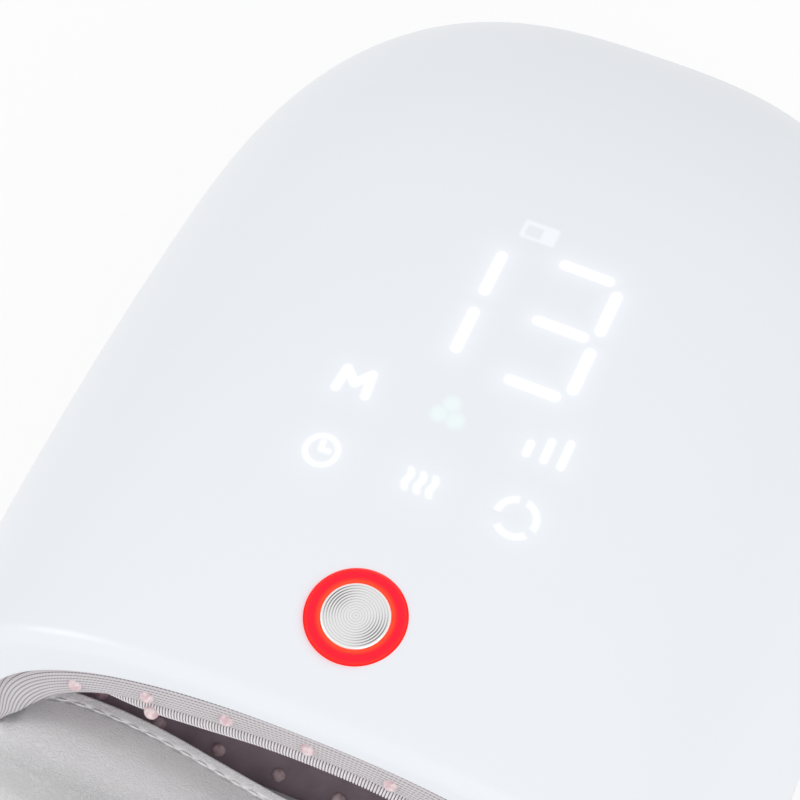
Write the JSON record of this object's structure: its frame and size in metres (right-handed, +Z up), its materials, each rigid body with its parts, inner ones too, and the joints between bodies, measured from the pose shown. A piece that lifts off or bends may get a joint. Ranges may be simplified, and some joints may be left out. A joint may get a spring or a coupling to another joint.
{
  "type": "hand massager",
  "caption": "Cordless hand massager: a white crowned housing with an arched padded mouth, a lit power button, a display under the roof and a leather palm rest.",
  "frame": {"origin": "middle of the bounding box in X and Y, on the plane that the four feet stand on", "axes": "+Z up, -Y out of the hand's mouth, +X to the right of someone who looks into the mouth"},
  "size_m": [0.1654, 0.2071, 0.1042],
  "materials": {
    "white_plastic": "satin to glossy white",
    "grey_plastic": "matte grey",
    "black_plastic": "matte black",
    "red_plastic": "translucent red, lit from inside",
    "grey_leather": "finely wrinkled warm grey with a soft sheen",
    "knit_fabric": "fine knit, pale grey and pink",
    "airbag_film": "thin coated film",
    "rubber": "matte dark rubber",
    "silicone": "translucent silicone",
    "steel": "turned, with fine concentric grooves on the button",
    "copper": "varnished winding",
    "motor_can": "plain steel can",
    "circuit_board": "green board",
    "battery_cell": "blue sleeve over a metal cell"
  },
  "bodies": {
    "housing": {"top_shell": "white_plastic", "bottom_shell": "white_plastic", "palm_rest_carrier": "white_plastic", "palm_rest": "grey_leather", "knit_trim": "knit_fabric", "ribbed_piping": "knit_fabric", "upper_lining": "knit_fabric", "lower_lining": "knit_fabric", "upper_airbag": "airbag_film", "lower_airbag": "airbag_film", "heating_film": "airbag_film", "upper_frame": "grey_plastic", "lower_frame": "grey_plastic", "cavity_end_panel": "grey_plastic", "light_ring": "red_plastic", "button_switch": "black_plastic", "button_board": "circuit_board", "display_board": "circuit_board", "digit_light_box": "white_plastic", "icon_light_box": "white_plastic", "foot_front_left": "rubber", "foot_front_right": "rubber", "foot_back_left": "rubber", "foot_back_right": "rubber", "base_screw_front_left": "steel", "base_screw_front_right": "steel", "base_screw_back_left": "steel", "base_screw_back_right": "steel", "frame_screw_front_left": "steel", "frame_screw_front_right": "steel", "frame_screw_back_left": "steel", "frame_screw_back_right": "steel", "battery_tray": "black_plastic", "battery_front": "battery_cell", "battery_back": "battery_cell", "main_board": "circuit_board", "beeper": "black_plastic", "pump_motor": "motor_can", "pump_head": "grey_plastic", "pump_diaphragm": "rubber", "pump_cover": "grey_plastic", "pump_saddle": "rubber", "valve_block": "grey_plastic", "valve_coil": "copper", "valve_spring": "steel", "pump_hose": "silicone", "upper_airbag_hose": "silicone", "lower_airbag_hose": "silicone", "charging_port": "steel", "port_board": "circuit_board", "battery_lead": "silicone", "motor_lead": "silicone", "port_lead": "silicone", "heater_lead": "silicone", "button_lead": "silicone", "display_ribbon": "airbag_film"},
    "button": {"power_button": "steel", "switch_plunger": "black_plastic"},
    "crank": {"motor_crank": "steel"},
    "valve": {"valve_plunger": "steel"}
  },
  "joints": [
    {"name": "button_press", "type": "slide", "parent": "housing", "child": "button", "axis": [0, 0.0672, -0.9977], "range_m": [0, 0.001], "stiffness_N_per_m": 1000, "springref_m": -0.0005},
    {"name": "motor_spin", "type": "hinge", "parent": "housing", "child": "crank", "pos_m": [-0.006, 0.06626, 0.024], "axis": [1, 0, 0], "continuous": true},
    {"name": "valve_slide", "type": "slide", "parent": "housing", "child": "valve", "axis": [0, 0, -1], "range_m": [0, 0.0015], "stiffness_N_per_m": 200, "springref_m": -0.001, "deforming": ["valve_spring"]}
  ]
}
